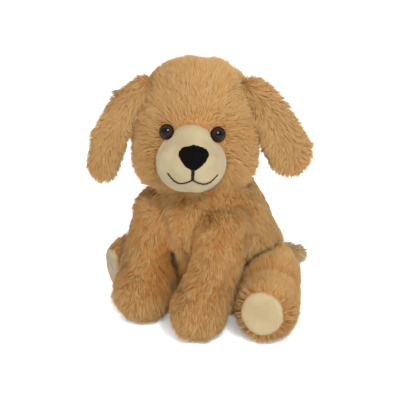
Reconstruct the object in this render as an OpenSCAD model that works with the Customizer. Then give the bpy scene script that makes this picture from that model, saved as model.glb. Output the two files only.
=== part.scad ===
// A seated plush puppy: sewn pile fabric panels over fibre stuffing, with plastic
// safety eyes, an embroidered nose and mouth, and a bag of pellets in the seat.
// Millimetres. The body faces -Y and sits on z = 0, and the origin is the middle
// of the flat seat. Panels are drawn as thick as their backing and pressed pile.
// A side s is 1 for the puppy's left (+X) and -1 for its right (-X).

/* [Fabric] */
// Thickness of the long pile fabric
pile_t = 4; // [3:0.5:5]
// Thickness of the short pile fabric on the muzzle
short_t = 2.5; // [2:0.5:3]
// Gap between pieces that move against each other
joint_gap = 0.8; // [0.8:0.1:1.2]

/* [Torso] */
// Distance of the two seat lobes' centres from the middle
seat_half_w = 15; // [13:1:16]
// Radius of the seat lobes
seat_r = 44; // [43:1:45]
// Radius of the chest
chest_r = 43; // [42:1:44]
// Radius of the shoulders under the head
neck_r = 32; // [30:1:34]
// Half the width of the chest panel between its two seams
chest_half = 24; // [20:1:25]

/* [Head] */
// Height of the head's centre above the floor
head_z = 161; // [160:1:164]
// Radius of each cheek
cheek_r = 42; // [41:0.5:42.5]
// Radius of each crown lobe
crown_r = 38; // [36:0.5:39]
// Angle that the head is turned to the puppy's left at rest
head_yaw = 30; // [25:1:32]
// Angle that the head leans to its left at rest
head_lean = 2.5; // [0:0.5:4]
// Radius of the muzzle
muzzle_r = 23; // [22:0.5:23.5]
// Diameter of the plastic eyes
eye_d = 12; // [10:0.5:13]
// Distance of each eye from the middle of the face
eye_half = 19.2; // [18:0.2:20]

/* [Ears] */
// Thickness of an ear, both panels together
ear_t = 11; // [10:0.5:12]

/* [Legs] */
// Radius of a front leg at the shoulder
shoulder_r = 22; // [21:0.5:22.5]
// Radius of a front paw
paw_r = 25; // [24:0.5:25.5]
// Radius of a hind leg at the hip
hip_r = 27; // [26:0.5:28]
// Radius of a hind foot
foot_r = 24.5; // [23:0.5:25]
// Radius of the pad sewn on a hind foot's sole
pad_r = 17; // [15:0.5:18]

/* [Tail] */
// Radius of the tail at its root
tail_r = 11.5; // [10:0.5:12]

/* [Hidden] */

tan_pile = [0.76, 0.59, 0.38];
tan_shade = [0.68, 0.51, 0.32];
cream_pile = [0.85, 0.77, 0.60];
fibre_white = [0.95, 0.95, 0.93];
thread_black = [0.05, 0.04, 0.04];

fn_out = 24;         // facets round an outer form
fn_in = 14;          // facets round an inner form
fn_cut = 18;         // facets round a clearance cut
facet_slack = 0.7;   // extra clearance that makes up for a cut's flat facets
big = 400;           // larger than the whole puppy
stuffing_gap = 0.3;  // between stuffing and its cover
shift_to_left = -3;  // the face is sewn this far off the middle of the head

// Where things are.
seat_y = 4;
seat_z = 39;
chest_at = [8, -15, 84];
neck_at = [13, -17, 102];
keel_at = [-1, -38, 66];      // the breast, between the front legs
keel_r = 15;
keel_taper = 12;              // how much slimmer the chest is where the breast leaves it
neck_pivot = [0, -18, 116];
neck_ball_r = 18;
head_at = [-3, -27, head_z];
cheek_at = [7, 0, -1];        // this and the next two are places in the head
jowl_at = [22, -9, -21];
muzzle_at = [4, -37, -19];
jowl_r = 26;
sweep_gap = 0.3;              // extra room under a turning head
seat_panel_r = 15;
tail_points = [[2, 51, 28], [20, 60, 27], [46, 60, 33]];
tail_radii = [tail_r, tail_r - 0.5, tail_r - 3];

// How far the joints move from rest, in degrees.
turn_steps = [-45, -15, 15];
nod_range = [-8, 10];
front_lift = 45;
hind_lift = 20;

front_leg_radii = [shoulder_r, shoulder_r - 1.5, paw_r];
hind_leg_radii = [hip_r, foot_r];
function sided(p, s) = [p[0] * s, p[1], p[2]];
function front_leg_points(s) = s > 0
    ? [[30, -38, 88], [27, -54, 50], [22, -68, paw_r]]
    : [[-31, -36, 88], [-35, -47, 52], [-34, -59, paw_r]];
function hind_leg_points(s) = s > 0
    ? [[44, 7, 32], [69, -39, foot_r]]
    : [[-44, 18, 32], [-75, -12, foot_r]];
// The way each sole looks, as a turn from -Y, and how far it tips up.
function sole_turn(s) = s > 0 ? 10 : -37;
function hind_turn(s) = s > 0 ? 28 : -46;
// The turn of the level line that each hind leg swings about.
function hind_axis_turn(s) = s > 0 ? 0 : -30;
function sole_tip(s) = s > 0 ? 9 : -6;
sole_cut = 5.5;      // depth of the flat cut across the sole

// One seamless faceted surface, which is how a stuffed form is kept.
module soft() resize([0, 0, 0]) children();

// Half spaces.
module above(z) translate([-big / 2, -big / 2, z]) cube(big);
module left_of(x) translate([x, -big / 2, -big / 2]) cube(big);
module right_of(x) translate([x - big, -big / 2, -big / 2]) cube(big);
module behind(y) translate([-big / 2, y, -big / 2]) cube(big);
module in_front_of(y) translate([-big / 2, y - big, -big / 2]) cube(big);
module side_of(s, x) if (s > 0) left_of(x); else right_of(x);

// A ball at p and its mirror image across X, joined.
module ball_pair(p, r, fn) hull() for (s = [-1, 1]) translate(sided(p, s)) sphere(r, $fn = fn);

// A soft limb through points, with a radius at each, smaller all round by g.
module limb(points, radii, g, fn) {
    for (i = [0 : len(points) - 2]) hull() {
        translate(points[i]) sphere(radii[i] - g, $fn = fn);
        translate(points[i + 1]) sphere(radii[i + 1] - g, $fn = fn);
    }
}

// The room that a limb sweeps when its far end swings about its first point.
module swung_limb_room(points, radii, g, axis, angle) {
    for (i = [0 : len(points) - 2]) hull() {
        translate(points[i]) sphere(radii[i] - g, $fn = fn_cut);
        for (a = [0, angle]) translate(points[0]) rotate(a, axis) translate(points[i + 1] - points[0])
            sphere(radii[i + 1] - g, $fn = fn_cut);
    }
}
function hind_axis(s) = [cos(hind_axis_turn(s)), sin(hind_axis_turn(s)), 0];

// Forms. g makes a form smaller all round, and larger when it is negative.
module torso_form(g, fn) {
    intersection() {
        union() {
            hull() {
                ball_pair([seat_half_w, seat_y, seat_z], seat_r - g, fn);
                ball_pair(chest_at, chest_r - g, fn);
            }
            hull() {
                ball_pair(chest_at, chest_r - g, fn);
                ball_pair(neck_at, neck_r - g, fn);
            }
            hull() {
                ball_pair(chest_at, chest_r - keel_taper - g, fn);
                translate(keel_at) sphere(keel_r - g, $fn = fn);
            }
        }
        above(g);
    }
}
module in_head() translate(head_at) rotate([0, head_lean, head_yaw]) children();
module head_form(g, fn) {
    hull() {
        ball_pair(cheek_at, cheek_r - g, fn);
        ball_pair([6, 2, 52 - crown_r], crown_r - g, fn);
        ball_pair(jowl_at, jowl_r - g, fn);
    }
}
module muzzle_form(g, fn) {
    translate([shift_to_left, 0, 0]) hull() {
        ball_pair(muzzle_at, muzzle_r - g, fn);
        translate([0, -35, -7]) sphere(muzzle_r - 4 - g, $fn = fn);
        translate([1.5, -49, -12]) sphere(muzzle_r - 8 - g, $fn = fn);
    }
}
module neck_ball_room(g) translate(neck_pivot) sphere(neck_ball_r + joint_gap + 0.2 - g, $fn = 32);

// The head turned and nodded about the neck from its rest.
module moved_head(turn, nod)
    translate(neck_pivot) rotate([0, 0, turn + head_yaw]) rotate([nod, 0, 0])
        rotate([0, 0, -head_yaw]) translate(-neck_pivot) in_head() children();

// Everything that the moving pieces need left free in the torso.
module torso_clearance(g) {
    hull() for (turn = turn_steps) for (nod = nod_range) moved_head(turn, nod) {
        ball_pair(cheek_at, cheek_r - g - sweep_gap, fn_cut);
        ball_pair(jowl_at, jowl_r - g - sweep_gap, fn_cut);
    }
    hull() for (turn = turn_steps)
        moved_head(turn, nod_range[1]) translate([shift_to_left, 0, 0])
            ball_pair(muzzle_at, muzzle_r - g, fn_cut);
    neck_ball_room(g + joint_gap + facet_slack);
    for (s = [-1, 1]) {
        swung_limb_room(front_leg_points(s), front_leg_radii, g, [1, 0, 0], -front_lift);
        swung_limb_room(hind_leg_points(s), hind_leg_radii, g, hind_axis(s), -hind_lift);
    }
    limb(tail_points, tail_radii, g, fn_cut);
}
module torso_body(g, fn) difference() {
    torso_form(g, fn);
    torso_clearance(-joint_gap - facet_slack - g);
}

// Torso pieces.
module torso_cover() {
    difference() {
        torso_body(0, fn_out);
        torso_body(pile_t, fn_in);
    }
}
module seat_outline(r) hull() for (s = [-1, 1]) translate([seat_half_w * s, seat_y]) circle(r, $fn = 48);
module chest_zone() intersection() {
    left_of(-chest_half);
    right_of(chest_half);
    in_front_of(-24);
}
module side_panel(s)
    color(tan_pile) soft() difference() {
        intersection() {
            torso_cover();
            side_of(s, 0);
        }
        chest_zone();
        translate([0, 0, -1]) linear_extrude(pile_t + 3) seat_outline(seat_panel_r);
    }
module chest_panel()
    color(tan_pile) soft() difference() {
        intersection() {
            torso_cover();
            chest_zone();
        }
        translate([0, 0, -1]) linear_extrude(pile_t + 3) seat_outline(seat_panel_r);
    }
module seat_panel() color(tan_shade) linear_extrude(pile_t) seat_outline(seat_panel_r);

bag_r = 12;
bag_x = -1;
bag_h = 24;
bag_edge = 4;
bag_t = 0.6;
bag_z = pile_t + 2 * stuffing_gap + bag_h / 2;
bag_at = [bag_x, seat_y, bag_z];
module body_stuffing()
    color(fibre_white) soft() difference() {
        torso_body(pile_t + stuffing_gap, fn_in);
        translate([bag_x, seat_y, 0]) cylinder(r = bag_r + 1, h = bag_z + bag_h / 2 + 1, $fn = 32);
    }
// A squat drum with round edges, about the origin.
module drum(g) rotate_extrude($fn = 64) difference() {
    offset(r = bag_edge) square([2 * (bag_r - bag_edge - g), bag_h - 2 * (bag_edge + g)], center = true);
    translate([-big, -big / 2]) square(big);
}
module pellet_bag()
    color("white") translate(bag_at) difference() {
        drum(0);
        drum(bag_t);
    }
module seat_pellets() color("lightgrey") translate(bag_at) drum(bag_t + 0.1);

// Ladder stitches across the seam that closes the stuffing opening, up the back.
stitch_count = 9;
module closing_stitches()
    color(tan_shade) soft() difference() {
        intersection() {
            torso_form(-0.7, fn_out);
            for (i = [0 : stitch_count - 1]) translate([0, 0, 52 + 4.5 * i]) rotate([-90, 0, 0])
                hull() for (s = [-1, 1]) translate([2.5 * s, 0, 0]) cylinder(r = 0.7, h = big, $fn = 8);
        }
        torso_form(0, fn_out);
    }

module neck_stuffing() color(fibre_white) translate(neck_pivot) sphere(neck_ball_r, $fn = 64);

// The eyes: a dome on a disc, a stem and a lock washer.
stem_r = 2;
stem_l = 14;
dome_h = 4.5;
disc_t = 1;
washer_r = 6;
washer_at = -8;
eye_sink = 1;        // depth that an eye's disc sinks into the pile
function eye_x(s) = shift_to_left + eye_half * s;
eye_z = 4.5;
function eye_turn(s) = asin((eye_x(s) - 7 * s) / (cheek_r - eye_sink));
// Puts +Z along an eye's line of sight, with z = 0 at the back of its disc.
module at_eye(s)
    translate([7 * s, 0, -1]) rotate([0, 0, eye_turn(s)]) rotate([90 - asin((eye_z + 1) / cheek_r), 0, 0])
        translate([0, 0, cheek_r - eye_sink]) children();
dome_ball_r = (pow(eye_d / 2, 2) + pow(dome_h, 2)) / (2 * dome_h);
module eye_dome(s)
    color([0.20, 0.10, 0.05]) in_head() at_eye(s) intersection() {
        translate([0, 0, disc_t + dome_h - dome_ball_r]) sphere(dome_ball_r, $fn = 64);
        translate([0, 0, disc_t]) cylinder(r = eye_d, h = big, $fn = 64);
    }
module eye_stem(s)
    color([0.02, 0.02, 0.02]) in_head() at_eye(s) {
        cylinder(d = eye_d, h = disc_t, $fn = 64);
        translate([0, 0, -stem_l]) cylinder(r = stem_r, h = stem_l, $fn = 32);
    }
module eye_washer(s)
    color("silver") in_head() at_eye(s) translate([0, 0, washer_at]) difference() {
        cylinder(r = washer_r, h = 1, $fn = 48);
        translate([0, 0, -1]) cylinder(r = stem_r + 0.05, h = 3, $fn = 32);
    }
// What an eye needs left free in the cover and in the stuffing.
module eye_room(s) at_eye(s) {
    cylinder(d = eye_d + 0.6, h = big / 10, $fn = 24);
    translate([0, 0, -stem_l - 1]) cylinder(r = stem_r + 0.4, h = stem_l + 2, $fn = 16);
}

// Head pieces.
module head_cover() {
    difference() {
        head_form(0, fn_out);
        head_form(pile_t, fn_in);
        muzzle_form(0, fn_out);
        for (s = [-1, 1]) {
            eye_room(s);
            ear_form(s, -joint_gap);
        }
    }
}
gusset_half = 14;
module gusset_zone() translate([shift_to_left, 0, 0]) intersection() {
    left_of(-gusset_half);
    right_of(gusset_half);
    above(3);
}
module face_panel(s)
    color(tan_pile) soft() difference() {
        in_head() difference() {
            intersection() {
                head_cover();
                side_of(s, shift_to_left);
                in_front_of(0);
            }
            gusset_zone();
        }
        neck_ball_room(0);
    }
module forehead_gusset()
    color(tan_pile) soft() in_head() intersection() {
        head_cover();
        gusset_zone();
        in_front_of(0);
    }
module back_head_panel()
    color(tan_pile) soft() difference() {
        in_head() intersection() {
            head_cover();
            behind(0);
        }
        neck_ball_room(0);
    }
module muzzle_panel()
    color(cream_pile) soft() in_head() difference() {
        muzzle_form(0, fn_out);
        muzzle_form(short_t, fn_in);
        head_form(pile_t, fn_in);
        for (s = [-1, 1]) eye_room(s);
    }
module head_stuffing()
    color(fibre_white) soft() difference() {
        in_head() difference() {
            union() {
                head_form(pile_t + stuffing_gap, fn_in);
                muzzle_form(short_t + stuffing_gap, fn_in);
            }
            for (s = [-1, 1]) {
                eye_room(s);
                at_eye(s) translate([0, 0, washer_at - 0.5]) cylinder(r = washer_r + 0.5, h = 8, $fn = 20);
                ear_form(s, -2 * joint_gap);
            }
        }
        neck_ball_room(0);
    }

// A shape drawn in the head's X and Z, laid on the front of the muzzle, t thick.
module on_muzzle(t) intersection() {
    difference() {
        muzzle_form(-t, fn_out);
        muzzle_form(0, fn_out);
    }
    in_front_of(-40);
    translate([shift_to_left, 0, 0]) rotate([90, 0, 0]) linear_extrude(big) children();
}
nose_x = 1.5;
module nose()
    color(thread_black) soft() in_head() on_muzzle(2) translate([nose_x, 0]) hull() {
        for (s = [-1, 1]) translate([6 * s, -6.4]) circle(4.6, $fn = 24);
        translate([0, -7]) circle(7, $fn = 32);
        translate([0, -13.4]) circle(3.2, $fn = 24);
    }
// The smile: each side is a row of short stitches along a drooping arc.
smile_steps = 6;
function smile_point(k, s) = [nose_x + 0.7 + 3 * k * s, -26.5 - 3.4 * sin(k * 32) + 0.35 * max(0, k - 3) * (k - 3)];
module mouth_stitching()
    color(thread_black) soft() in_head() on_muzzle(0.7) {
        translate([nose_x, -27]) square([1.4, 10]);
        for (s = [-1, 1]) for (k = [0 : smile_steps - 1]) hull()
            for (j = [k, k + 1]) translate(smile_point(j, s)) circle(0.7, $fn = 8);
    }

// Ears: two panels face to face, hanging from a round root sewn into the head.
// Each ear as places along it, with its half width and its turn about its length.
function ear_steps(s) = s > 0
    ? [[41, -8, 31, 10, 8], [54, -10, 18, 13.5, 14], [67, -7, -5, 16, 12], [75, -3, -19, 16, 6]]
    : [[-41, -8, 32, 9, -8], [-54, -10, 17, 13, -14], [-67, -7, -12, 14.5, -10], [-72, -3, -35, 12.5, -5]];
module ear_form(s, g) {
    steps = ear_steps(s);
    for (i = [0 : len(steps) - 2]) hull() for (e = [steps[i], steps[i + 1]])
        translate([e[0], e[1], e[2]]) rotate([0, 0, e[4]]) scale([1, (ear_t / 2 - g) / (e[3] - g), 1])
            sphere(e[3] - g, $fn = fn_out);
}
// The upright plane between an ear's two panels, as the space in front of it.
module ear_front_space(s) {
    steps = ear_steps(s);
    tip = steps[len(steps) - 1];
    translate([steps[0][0], steps[0][1], 0])
        rotate([0, 0, s * atan2(tip[1] - steps[0][1], abs(tip[0] - steps[0][0]))]) in_front_of(0);
}
module ear_panel(s, front)
    color(front ? tan_pile : tan_shade) soft() in_head() if (front) intersection() {
        ear_form(s, 0);
        ear_front_space(s);
    } else difference() {
        ear_form(s, 0);
        ear_front_space(s);
    }

// Front legs: an outer and an inner panel, meeting in a seam down the front.
module hollow_limb(points, radii) difference() {
    limb(points, radii, 0, fn_out);
    limb(points, radii, pile_t, fn_in);
}
front_seam_x = 27;
module front_leg_panel(s, outer)
    color(tan_pile) soft() intersection() {
        hollow_limb(front_leg_points(s), front_leg_radii);
        side_of(outer ? s : -s, front_seam_x * s);
        above(0);
    }
module front_leg_stuffing(s)
    color(fibre_white) soft() limb(front_leg_points(s), front_leg_radii, pile_t + stuffing_gap, fn_in);

// Hind legs: two panels and a round pad that closes the flattened sole.
module at_sole(s) translate(hind_leg_points(s)[1]) rotate([0, 0, sole_turn(s)]) rotate([90 - sole_tip(s), 0, 0])
    children();
module hind_leg_form(s, g, fn) difference() {
    limb(hind_leg_points(s), hind_leg_radii, g, fn);
    at_sole(s) translate([-big / 2, -big / 2, foot_r - sole_cut - g]) cube(big);
}
module hind_leg_cover(s) intersection() {
    difference() {
        hind_leg_form(s, 0, fn_out);
        hind_leg_form(s, pile_t, fn_in);
    }
    above(0);
}
module pad_zone(s) at_sole(s) cylinder(r = pad_r, h = big, $fn = 32);
module hind_leg_panel(s, outer)
    color(tan_pile) soft() difference() {
        intersection() {
            hind_leg_cover(s);
            translate(hind_leg_points(s)[0]) rotate([0, 0, hind_turn(s)]) side_of(outer ? s : -s, 0);
        }
        pad_zone(s);
    }
module foot_pad(s)
    color(cream_pile) soft() intersection() {
        hind_leg_cover(s);
        pad_zone(s);
    }
module hind_leg_stuffing(s) color(fibre_white) soft() hind_leg_form(s, pile_t + stuffing_gap, fn_in);

// Tail: an upper and a lower panel.
tail_seam_z = 28;
module tail_panel(upper)
    color(tan_pile) soft() difference() {
        limb(tail_points, tail_radii, 0, 18);
        limb(tail_points, tail_radii, pile_t, 12);
        if (upper) above(tail_seam_z - big);
        else above(tail_seam_z);
    }
module tail_stuffing() color(fibre_white) soft() limb(tail_points, tail_radii, pile_t + stuffing_gap, 12);

side_panel(1);  // left_side_panel
side_panel(-1);  // right_side_panel
chest_panel();
seat_panel();
body_stuffing();
pellet_bag();
seat_pellets();
closing_stitches();
neck_stuffing();
face_panel(1);  // left_face_panel
face_panel(-1);  // right_face_panel
forehead_gusset();
back_head_panel();
muzzle_panel();
head_stuffing();
nose();
mouth_stitching();
eye_dome(1);  // left_eye_dome
eye_stem(1);  // left_eye_stem
eye_washer(1);  // left_eye_washer
eye_dome(-1);  // right_eye_dome
eye_stem(-1);  // right_eye_stem
eye_washer(-1);  // right_eye_washer
ear_panel(1, true);  // left_ear_front_panel
ear_panel(1, false);  // left_ear_back_panel
ear_panel(-1, true);  // right_ear_front_panel
ear_panel(-1, false);  // right_ear_back_panel
front_leg_panel(1, true);  // left_front_leg_outer_panel
front_leg_panel(1, false);  // left_front_leg_inner_panel
front_leg_stuffing(1);  // left_front_leg_stuffing
front_leg_panel(-1, true);  // right_front_leg_outer_panel
front_leg_panel(-1, false);  // right_front_leg_inner_panel
front_leg_stuffing(-1);  // right_front_leg_stuffing
hind_leg_panel(1, true);  // left_hind_leg_outer_panel
hind_leg_panel(1, false);  // left_hind_leg_inner_panel
foot_pad(1);  // left_foot_pad
hind_leg_stuffing(1);  // left_hind_leg_stuffing
hind_leg_panel(-1, true);  // right_hind_leg_outer_panel
hind_leg_panel(-1, false);  // right_hind_leg_inner_panel
foot_pad(-1);  // right_foot_pad
hind_leg_stuffing(-1);  // right_hind_leg_stuffing
tail_panel(true);  // tail_upper_panel
tail_panel(false);  // tail_lower_panel
tail_stuffing();
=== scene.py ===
import math

import bpy
import numpy as np
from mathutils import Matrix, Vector
from mathutils.bvhtree import BVHTree
from mathutils.kdtree import KDTree


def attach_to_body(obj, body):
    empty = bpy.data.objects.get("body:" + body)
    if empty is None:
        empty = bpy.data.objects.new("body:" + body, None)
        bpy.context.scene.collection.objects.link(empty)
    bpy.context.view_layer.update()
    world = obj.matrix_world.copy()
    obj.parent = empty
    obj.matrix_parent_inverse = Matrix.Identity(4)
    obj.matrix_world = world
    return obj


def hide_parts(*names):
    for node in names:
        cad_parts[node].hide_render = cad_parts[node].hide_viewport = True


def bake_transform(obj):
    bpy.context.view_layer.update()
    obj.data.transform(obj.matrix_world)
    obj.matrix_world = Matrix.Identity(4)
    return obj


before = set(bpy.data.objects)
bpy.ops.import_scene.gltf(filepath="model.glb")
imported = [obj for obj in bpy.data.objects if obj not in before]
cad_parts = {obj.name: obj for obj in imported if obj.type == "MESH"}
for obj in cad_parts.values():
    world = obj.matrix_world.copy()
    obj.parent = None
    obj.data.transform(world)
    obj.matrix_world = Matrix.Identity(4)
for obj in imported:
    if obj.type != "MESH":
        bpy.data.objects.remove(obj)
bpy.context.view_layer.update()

# Everything below is worked out in millimetres and turned into metres where a mesh is made.
MM = 0.001

# ---------------------------------------------------------------- the part's own places, as in the CAD
HEAD_AT = np.array((-3.0, -27.0, 161.0))
HEAD_YAW, HEAD_LEAN = math.radians(30), math.radians(2.5)
EAR_PATH = {
    "left_ear": ((41, -8, 31), (54, -10, 18), (67, -7, -5), (75, -3, -19)),
    "right_ear": ((-41, -8, 32), (-54, -10, 17), (-67, -7, -12), (-72, -3, -35)),
}
LIMB_PATH = {
    "left_front_leg": ((30, -38, 88), (27, -54, 50), (22, -68, 25)),
    "right_front_leg": ((-31, -36, 88), (-35, -47, 52), (-34, -59, 25)),
    "left_hind_leg": ((44, 7, 32), (69, -39, 24.5)),
    "right_hind_leg": ((-44, 18, 32), (-75, -12, 24.5)),
    "tail": ((2, 51, 28), (20, 60, 27), (46, 60, 33)),
}
LEG_SEAM_X = 27.0
CHEST_SEAM_X, CHEST_SEAM_WIDTH = 20.0, 2.4
EYE_RADIUS = 6.2

COVERS = {
    "torso": ("left_side_panel", "right_side_panel", "chest_panel", "seat_panel"),
    "head": ("left_face_panel", "right_face_panel", "forehead_gusset", "back_head_panel",
             "muzzle_panel"),
    "left_ear": ("left_ear_front_panel", "left_ear_back_panel"),
    "right_ear": ("right_ear_front_panel", "right_ear_back_panel"),
    "left_front_leg": ("left_front_leg_outer_panel", "left_front_leg_inner_panel"),
    "right_front_leg": ("right_front_leg_outer_panel", "right_front_leg_inner_panel"),
    "left_hind_leg": ("left_hind_leg_outer_panel", "left_hind_leg_inner_panel", "left_foot_pad"),
    "right_hind_leg": ("right_hind_leg_outer_panel", "right_hind_leg_inner_panel",
                       "right_foot_pad"),
    "tail": ("tail_upper_panel", "tail_lower_panel"),
    "neck": ("neck_stuffing",),
}
STUFFING = {
    "torso": "body_stuffing", "head": "head_stuffing",
    "left_front_leg": "left_front_leg_stuffing", "right_front_leg": "right_front_leg_stuffing",
    "left_hind_leg": "left_hind_leg_stuffing", "right_hind_leg": "right_hind_leg_stuffing",
    "tail": "tail_stuffing",
}
NEIGHBOURS = {
    "torso": ("head", "left_hind_leg", "right_hind_leg", "tail"),
    "head": ("torso", "left_ear", "right_ear"),
    "left_ear": ("head",),
    "right_ear": ("head",),
    "left_front_leg": ("left_hind_leg",),
    "right_front_leg": ("right_hind_leg",),
    "left_hind_leg": ("torso", "left_front_leg"),
    "right_hind_leg": ("torso", "right_front_leg"),
    "tail": ("torso",),
    "neck": ("torso", "head"),
}
SHORT_PILE = ("muzzle_panel", "left_foot_pad", "right_foot_pad")


# ---------------------------------------------------------------- small helpers
def unit(a):
    return a / np.maximum(np.linalg.norm(a, axis=-1, keepdims=True), 1e-9)


def ease(a, lo, hi):
    t = np.clip((a - lo) / (hi - lo), 0, 1)
    return t * t * (3 - 2 * t)


def wave(p, size, seed):
    """Smooth noise of about -1 to 1 at the points p, with features of that size."""
    rng = np.random.default_rng(seed)
    k = unit(rng.normal(size=(6, 3))) * (2 * math.pi / size) * rng.uniform(0.6, 1.6, (6, 1))
    return np.sin(p @ k.T + rng.uniform(0, 2 * math.pi, 6)).sum(1) / 2.6


def head_turn():
    c, s = math.cos(HEAD_YAW), math.sin(HEAD_YAW)
    e, f = math.cos(HEAD_LEAN), math.sin(HEAD_LEAN)
    return np.array(((c, -s, 0), (s, c, 0), (0, 0, 1))) @ np.array(((e, 0, f), (0, 1, 0), (-f, 0, e)))


HEAD_TURN = head_turn()


def to_head(p):
    return (np.asarray(p, float) - HEAD_AT) @ HEAD_TURN


def from_head(q):
    return np.asarray(q, float) @ HEAD_TURN.T + HEAD_AT


def nearest_on(path, p):
    """The nearest point of a polyline to each of p, and its direction there, eased at its corners."""
    path = np.asarray(path, float)
    best = np.full(len(p), 1e9)
    near, way = np.zeros_like(p), np.zeros_like(p)
    for a, b in zip(path[:-1], path[1:]):
        d = b - a
        t = np.clip((p - a) @ d / (d @ d), 0, 1)
        c = a + t[:, None] * d
        r = np.linalg.norm(p - c, axis=1)
        w = np.exp(-r / 5.0)[:, None]
        way += w * unit(d)
        closer = r < best
        best[closer], near[closer] = r[closer], c[closer]
    return near, unit(way)


def arrays_of(mesh):
    co = np.empty(len(mesh.vertices) * 3, np.float32)
    mesh.vertices.foreach_get("co", co)
    mesh.calc_loop_triangles()
    tri = np.empty(len(mesh.loop_triangles) * 3, np.int32)
    mesh.loop_triangles.foreach_get("vertices", tri)
    return co.reshape(-1, 3).astype(float) / MM, tri.reshape(-1, 3)


def node_arrays(name):
    return arrays_of(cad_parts[name].data)


def joined(parts):
    verts, tris, count = [], [], 0
    for v, t in parts:
        verts.append(v)
        tris.append(t + count)
        count += len(v)
    return np.concatenate(verts), np.concatenate(tris)


def vertex_normals(verts, tris):
    n = np.cross(verts[tris[:, 1]] - verts[tris[:, 0]], verts[tris[:, 2]] - verts[tris[:, 0]])
    out = np.zeros_like(verts)
    for i in range(3):
        np.add.at(out, tris[:, i], n)
    return unit(out)


def tree_of(verts, tris):
    return BVHTree.FromPolygons(verts.tolist(), tris.tolist())


def distance_to(tree, points, most):
    out = np.full(len(points), float(most))
    for i, p in enumerate(points.tolist()):
        d = tree.find_nearest(p, most)[3]
        if d is not None:
            out[i] = d
    return out


def mesh_object(name, verts, faces, mat, smooth=True, normals=None, uv=None):
    """An object of these vertices (mm) and faces: an array, or a list of them, of equal corner counts."""
    faces = faces if isinstance(faces, list) else [faces]
    mesh = bpy.data.meshes.new(name)
    mesh.vertices.add(len(verts))
    mesh.vertices.foreach_set("co", (verts * MM).astype(np.float32).ravel())
    corners = np.concatenate([f.ravel() for f in faces]).astype(np.int32)
    sizes = np.concatenate([np.full(len(f), f.shape[1], np.int32) for f in faces])
    mesh.loops.add(len(corners))
    mesh.loops.foreach_set("vertex_index", corners)
    mesh.polygons.add(len(sizes))
    starts = np.concatenate(([0], np.cumsum(sizes)[:-1])).astype(np.int32)
    mesh.polygons.foreach_set("loop_start", starts)
    mesh.polygons.foreach_set("use_smooth", np.full(len(sizes), smooth))
    mesh.update(calc_edges=True)
    if uv is not None:
        layer = mesh.uv_layers.new(name="OFBake")
        layer.data.foreach_set("uv", uv[corners].astype(np.float32).ravel())
    if normals is not None:
        mesh.normals_split_custom_set_from_vertices(normals.tolist())
    mesh.materials.append(mat)
    ob = bpy.data.objects.new(name, mesh)
    bpy.context.scene.collection.objects.link(ob)
    return ob


def evaluated(ob):
    """The object's mesh with its modifiers, as arrays; the object is removed."""
    bpy.context.view_layer.update()
    dg = bpy.context.evaluated_depsgraph_get()
    mesh = bpy.data.meshes.new_from_object(ob.evaluated_get(dg), depsgraph=dg)
    out = arrays_of(mesh)
    bpy.data.meshes.remove(mesh)
    bpy.data.objects.remove(ob)
    return out


def remeshed(parts, voxel, smooth):
    """One closed surface round all the parts, smoothed that many times."""
    ob = mesh_object("tmp", *joined(parts), None)
    m = ob.modifiers.new("voxel", "REMESH")
    m.mode, m.voxel_size = "VOXEL", voxel * MM
    m = ob.modifiers.new("smooth", "SMOOTH")
    m.factor, m.iterations = 0.5, smooth
    return evaluated(ob)


# ---------------------------------------------------------------- materials
def srgb(r, g, b):
    return tuple((c / 255 / 12.92 if c / 255 <= 0.04045 else ((c / 255 + 0.055) / 1.055) ** 2.4)
                 for c in (r, g, b)) + (1.0,)


class Nodes:
    """A short way to write a material's nodes."""

    def __init__(self, name):
        self.mat = bpy.data.materials.new(name)
        self.mat.use_nodes = True
        self.tree = self.mat.node_tree
        self.shader = self.tree.nodes["Principled BSDF"]

    def add(self, kind, inputs=None, **settings):
        n = self.tree.nodes.new(kind)
        for k, v in settings.items():
            setattr(n, k, v)
        for k, v in (inputs or {}).items():
            self.put(n, k, v)
        return n

    def put(self, n, key, value):
        s = n.inputs[key]
        if isinstance(value, bpy.types.NodeSocket):
            self.tree.links.new(value, s)
        else:
            s.default_value = value

    def set(self, **values):
        for k, v in values.items():
            self.put(self.shader, k.replace("_", " "), v)

    def ramp(self, fac, stops):
        n = self.add("ShaderNodeValToRGB", {"Fac": fac})
        e = n.color_ramp.elements
        for i, (at, colour) in enumerate(stops):
            el = e[i] if i < 2 else e.new(at)
            el.position, el.color = at, colour
        return n.outputs["Color"]

    def mix(self, fac, a, b, mode="MIX"):
        n = self.add("ShaderNodeMix", data_type="RGBA", blend_type=mode)
        for s, v in ((n.inputs[0], fac), (n.inputs[6], a), (n.inputs[7], b)):
            if isinstance(v, bpy.types.NodeSocket):
                self.tree.links.new(v, s)
            else:
                s.default_value = v
        return n.outputs[2]

    def math(self, op, a, b=0.0):
        return self.add("ShaderNodeMath", {0: a, 1: b}, operation=op).outputs[0]

    def vector_math(self, op, a, b=(0.0, 0.0, 0.0), out="Vector"):
        return self.add("ShaderNodeVectorMath", {0: a, 1: b}, operation=op).outputs[out]

    def object_coords(self):
        return self.add("ShaderNodeTexCoord").outputs["Object"]

    def noise(self, scale, detail=3.0, vector=None, out="Fac"):
        vector = vector or self.object_coords()
        n = self.add("ShaderNodeTexNoise", {"Vector": vector, "Scale": scale, "Detail": detail})
        return n.outputs[out]

    def bump(self, height, strength, distance):
        n = self.add("ShaderNodeBump",
                     {"Height": height, "Strength": strength, "Distance": distance})
        self.put(self.shader, "Normal", n.outputs["Normal"])


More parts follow.
